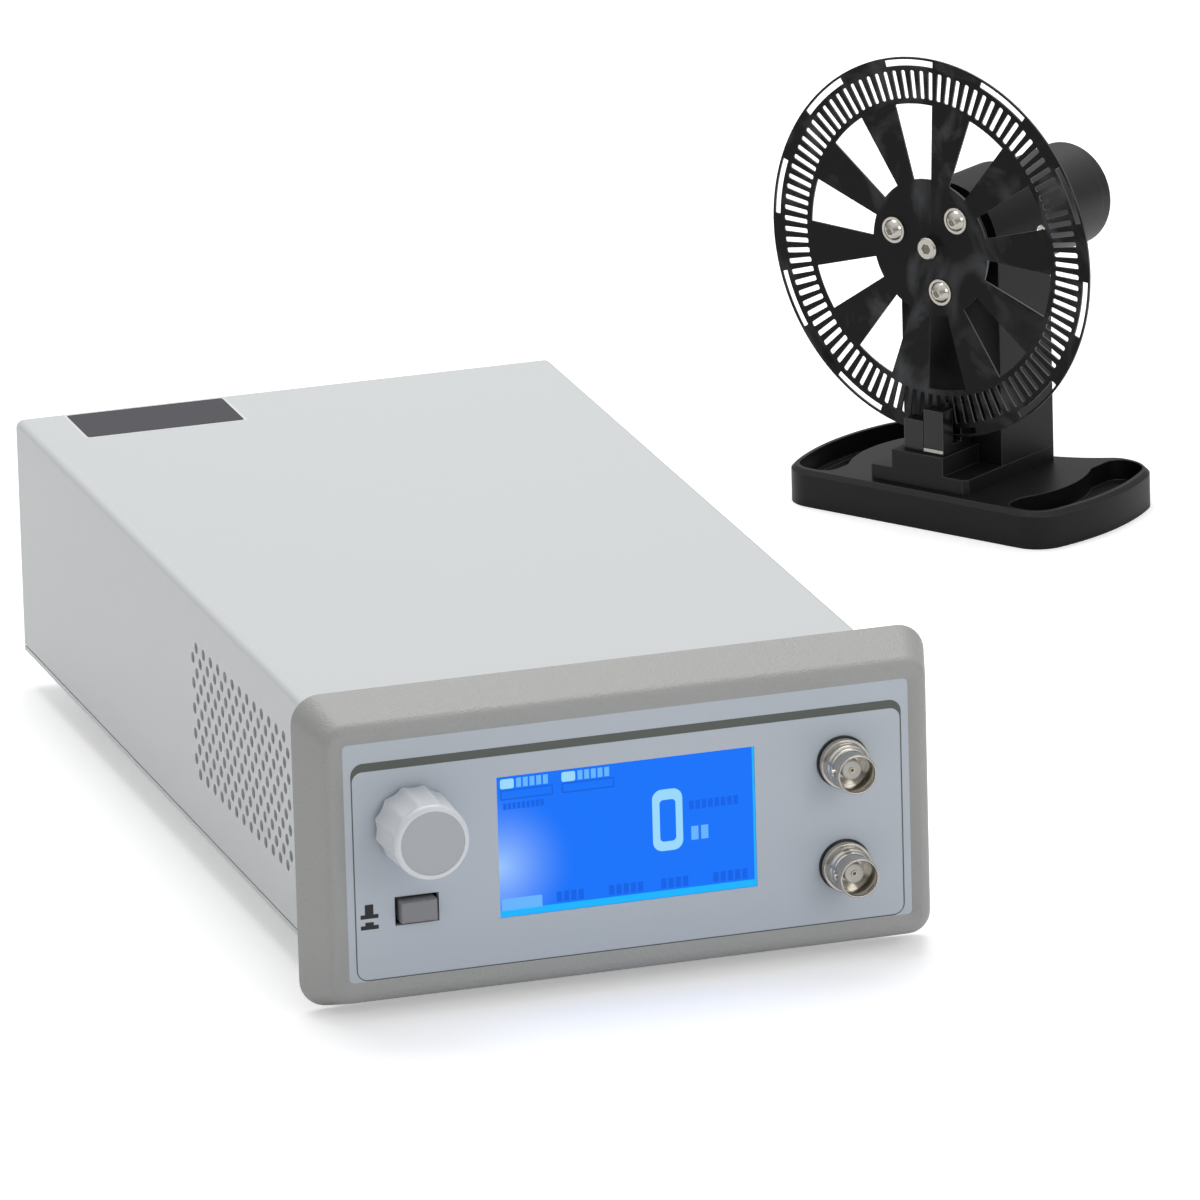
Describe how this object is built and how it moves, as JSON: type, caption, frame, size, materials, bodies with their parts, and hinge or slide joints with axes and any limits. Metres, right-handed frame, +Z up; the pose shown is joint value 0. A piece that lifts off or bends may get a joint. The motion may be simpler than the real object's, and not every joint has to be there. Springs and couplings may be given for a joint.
{
  "type": "optical chopper",
  "caption": "Optical chopper set: a bench controller with display, knob and two bayonet connectors, and a chopper head whose motor turns a slotted blade through two sensors.",
  "frame": {"origin": "centre of the underside of the whole set, on the surface it stands on", "axes": "X right, Y from the controller front to its back, Z up"},
  "size_m": [0.3262, 0.4078, 0.1241],
  "materials": {
    "case_paint": "satin, light grey powder coat",
    "bezel_moulding": "fine leather grain, smooth crest",
    "panel_paint": "satin printed panel",
    "display_glass": "clear window over a lit display",
    "display_frame": "matt",
    "knob_plastic": "glossy",
    "knob_face": "fine matt",
    "button_plastic": "matt",
    "black_plastic": "matt",
    "white_plastic": "smooth",
    "foot_rubber": "matt",
    "nickel": "bright nickel plate",
    "gold": "plated",
    "steel": "zinc-plated",
    "board": "solder mask",
    "anodised": "black anodised, satin",
    "motor_steel": "black, satin",
    "magnet": "sintered",
    "blade_black": "black, semi-matt",
    "sensor_plastic": "moulded"
  },
  "bodies": {
    "housing": {"cover": "case_paint", "chassis": "case_paint", "rear_panel": "case_paint", "rubber_feet": "foot_rubber", "foot_screws": "steel", "case_screws": "steel", "bezel": "bezel_moulding", "front_panel": "panel_paint", "display_window": "display_glass", "display_module": "display_frame", "encoder_body": "steel", "encoder_nut": "nickel", "encoder_washer": "nickel", "power_switch": "black_plastic", "bnc_shells": "nickel", "bnc_cores": "white_plastic", "bnc_contacts": "gold", "bnc_rings": "black_plastic", "bnc_nuts": "nickel", "board_pillars": "steel", "main_board": "board", "power_supply": "steel", "power_inlet": "black_plastic", "inlet_pins": "nickel", "voltage_selector": "black_plastic", "head_socket": "black_plastic", "data_socket": "nickel", "head_base": "anodised", "sensor_foot": "anodised", "motor_post": "anodised", "side_screw": "nickel", "base_bolts": "steel", "signal_jack": "black_plastic", "motor_can": "motor_steel", "motor_cap": "motor_steel", "motor_bearings": "steel", "motor_magnets": "magnet", "outer_sensor": "sensor_plastic", "inner_sensor": "sensor_plastic"},
    "rotor": {"blade": "blade_black", "blade_hub": "anodised", "blade_washers": "nickel", "blade_screws": "nickel", "centre_screw": "nickel", "motor_shaft": "steel", "motor_core": "steel"},
    "push": {"encoder_plunger": "black_plastic"},
    "dial": {"knob": "knob_plastic", "knob_cap": "knob_face", "encoder_shaft": "steel"},
    "power": {"power_button": "button_plastic", "button_rod": "black_plastic"},
    "drawer": {"fuse_drawer": "black_plastic", "fuse": "nickel"},
    "selector": {"selector_slider": "button_plastic"}
  },
  "joints": [
    {"name": "blade_spin", "type": "hinge", "parent": "housing", "child": "rotor", "pos_m": [0.10497, 0.14804, 0.0733], "axis": [0.8161, 0.5779, 0], "continuous": true},
    {"name": "dial_push", "type": "slide", "parent": "housing", "child": "push", "axis": [0, 1, 0], "range_m": [0, 0.0005], "stiffness_N_per_m": 2000},
    {"name": "dial_turn", "type": "hinge", "parent": "push", "child": "dial", "pos_m": [-0.13773, -0.20391, 0.0478], "axis": [0, -1, 0], "continuous": true},
    {"name": "power_press", "type": "slide", "parent": "housing", "child": "power", "axis": [0, -1, 0], "range_m": [-0.0005, 0.003]},
    {"name": "fuse_pull", "type": "slide", "parent": "housing", "child": "drawer", "axis": [0, 1, 0], "range_m": [0, 0.018]},
    {"name": "voltage_slide", "type": "slide", "parent": "housing", "child": "selector", "axis": [1, 0, 0], "range_m": [0, 0.007]}
  ]
}
